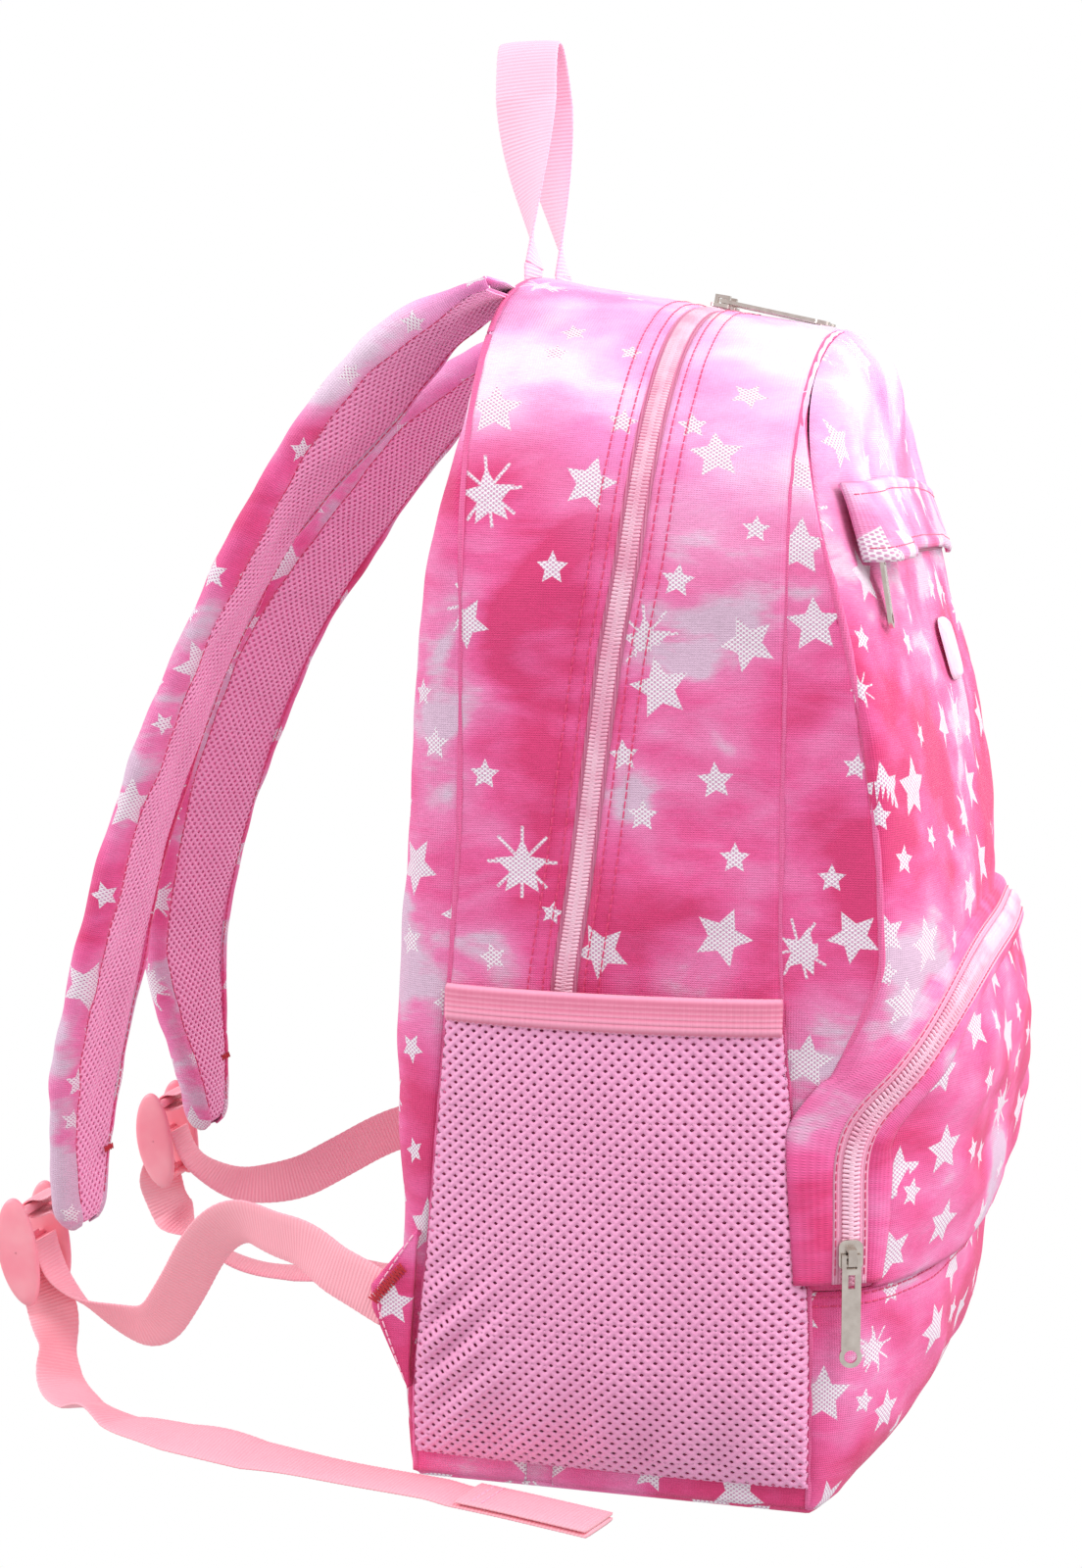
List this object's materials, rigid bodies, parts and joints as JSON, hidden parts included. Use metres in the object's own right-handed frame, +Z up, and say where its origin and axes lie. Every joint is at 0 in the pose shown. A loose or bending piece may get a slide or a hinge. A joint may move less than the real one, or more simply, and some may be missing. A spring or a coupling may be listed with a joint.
{
  "type": "school backpack",
  "caption": "Soft school backpack with arched zip main compartment, front pockets, mesh side pockets, padded straps with webbing adjusters and a grab handle.",
  "frame": {"origin": "middle of the main compartment's base, on the floor", "axes": "+Z up, -Y towards the front with the pockets, +Y towards the wearer's back and straps, -X to the wearer's left"},
  "size_m": [0.3664, 0.4085, 0.5458],
  "materials": {
    "printed_canvas": "matt printed canvas",
    "lining": "matt woven",
    "foam": "soft foam",
    "mesh": "open air mesh",
    "webbing": "ribbed webbing",
    "elastic": "ribbed elastic",
    "zip_tape": "matt woven tape",
    "zip_coil": "satin nylon",
    "nickel": "polished nickel",
    "buckle_plastic": "satin moulded",
    "thread": "satin thread",
    "badge_rubber": "satin"
  },
  "bodies": {
    "bag": {"back_panel": "printed_canvas", "back_foam": "foam", "rear_gusset": "printed_canvas", "rear_zip_tape": "zip_tape", "rear_zip_coil": "zip_coil", "base_panel": "printed_canvas", "document_sleeve": "lining", "sleeve_binding": "lining", "side_pocket_mesh_left": "mesh", "side_pocket_mesh_right": "mesh", "side_pocket_elastic_left": "elastic", "side_pocket_elastic_right": "elastic", "anchor_tab_left": "printed_canvas", "anchor_tab_right": "printed_canvas", "bartack_left": "thread", "bartack_right": "thread", "handle_ends": "webbing", "lower_webbing_left": "webbing", "lower_webbing_right": "webbing", "webbing_tail_left": "webbing", "webbing_tail_right": "webbing", "folded_end_left": "webbing", "folded_end_right": "webbing"},
    "front_half": {"front_gusset": "printed_canvas", "front_zip_tape": "zip_tape", "front_zip_coil": "zip_coil", "front_wall": "lining", "front_panel": "printed_canvas", "lower_front_panel": "printed_canvas", "second_gusset_left": "printed_canvas", "second_gusset_right": "printed_canvas", "upper_zip_tape": "zip_tape", "upper_zip_coil": "zip_coil", "lower_zip_outer": "zip_tape", "badge": "badge_rubber"},
    "lower_pocket": {"lower_pocket_panel": "printed_canvas", "lower_zip_inner": "zip_tape"},
    "flap": {"storm_flap": "printed_canvas"},
    "main_slider_left": {"main_slider_left": "nickel"},
    "main_slider_right": {"main_slider_right": "nickel"},
    "main_pull_left": {"main_pull_left": "nickel"},
    "main_pull_right": {"main_pull_right": "nickel"},
    "upper_slider": {"upper_slider": "nickel"},
    "upper_pull": {"upper_pull": "nickel"},
    "lower_slider": {"lower_slider": "nickel"},
    "lower_pull": {"lower_pull": "nickel"},
    "handle": {"grab_handle": "webbing"},
    "strap_left": {"strap_cover_left": "printed_canvas", "strap_foam_left": "foam", "strap_mesh_left": "mesh", "lock_loop_left": "webbing"},
    "strap_right": {"strap_cover_right": "printed_canvas", "strap_foam_right": "foam", "strap_mesh_right": "mesh", "lock_loop_right": "webbing"},
    "lock_left": {"ladder_lock_left": "buckle_plastic"},
    "lock_right": {"ladder_lock_right": "buckle_plastic"}
  },
  "joints": [
    {"name": "front_open", "type": "hinge", "parent": "bag", "child": "front_half", "pos_m": [0, -0.066, 0.008], "axis": [1, 0, 0], "range_deg": [0, 16]},
    {"name": "left_slider_run", "type": "slide", "parent": "front_half", "child": "main_slider_left", "axis": [-1, 0, 0], "range_m": [0, 0.03]},
    {"name": "right_slider_run", "type": "slide", "parent": "front_half", "child": "main_slider_right", "axis": [1, 0, 0], "range_m": [0, 0.03]},
    {"name": "left_pull_lift", "type": "hinge", "parent": "main_slider_left", "child": "main_pull_left", "pos_m": [-0.007, -0.0085, 0.44044], "axis": [-1, 0, 0], "range_deg": [0, 160]},
    {"name": "right_pull_lift", "type": "hinge", "parent": "main_slider_right", "child": "main_pull_right", "pos_m": [0.007, -0.0085, 0.44044], "axis": [-1, 0, 0], "range_deg": [0, 160]},
    {"name": "upper_slider_run", "type": "slide", "parent": "front_half", "child": "upper_slider", "axis": [0.9927, -0.1209, 0], "range_m": [0, 0.025]},
    {"name": "upper_pull_swing", "type": "hinge", "parent": "upper_slider", "child": "upper_pull", "pos_m": [-0.11471, -0.08555, 0.35], "axis": [-1, 0, 0], "range_deg": [0, 26]},
    {"name": "lower_slider_run", "type": "slide", "parent": "front_half", "child": "lower_slider", "axis": [0, 0.0015, 1], "range_m": [0, 0.022]},
    {"name": "lower_pull_swing", "type": "hinge", "parent": "lower_slider", "child": "lower_pull", "pos_m": [-0.14606, -0.08382, 0.098], "axis": [-0.3304, 0.9439, -0.0014], "range_deg": [0, 110]},
    {"name": "flap_lift", "type": "hinge", "parent": "front_half", "child": "flap", "pos_m": [0, -0.0805, 0.371], "axis": [-1, 0, 0], "range_deg": [0, 100]},
    {"name": "lower_pocket_open", "type": "hinge", "parent": "front_half", "child": "lower_pocket", "pos_m": [0, -0.1208, 0.084], "axis": [1, 0, 0], "range_deg": [0, 30]},
    {"name": "handle_swing", "type": "hinge", "parent": "bag", "child": "handle", "pos_m": [0, 0.0645, 0.4538], "axis": [1, 0, 0], "range_deg": [-80, 80]},
    {"name": "left_strap_swing", "type": "hinge", "parent": "bag", "child": "strap_left", "pos_m": [-0.075, 0.069, 0.44], "axis": [1, 0, 0], "range_deg": [-8, 6], "deforming": ["lower_webbing_left", "webbing_tail_left", "folded_end_left"]},
    {"name": "right_strap_swing", "type": "hinge", "parent": "bag", "child": "strap_right", "pos_m": [0.075, 0.069, 0.44], "axis": [1, 0, 0], "range_deg": [-8, 6], "deforming": ["lower_webbing_right", "webbing_tail_right", "folded_end_right"]},
    {"name": "left_lock_swing", "type": "hinge", "parent": "strap_left", "child": "lock_left", "pos_m": [-0.075, 0.262, 0.074], "axis": [1, 0, 0], "range_deg": [-20, 20]},
    {"name": "right_lock_swing", "type": "hinge", "parent": "strap_right", "child": "lock_right", "pos_m": [0.075, 0.267, 0.084], "axis": [1, 0, 0], "range_deg": [-20, 20]}
  ]
}
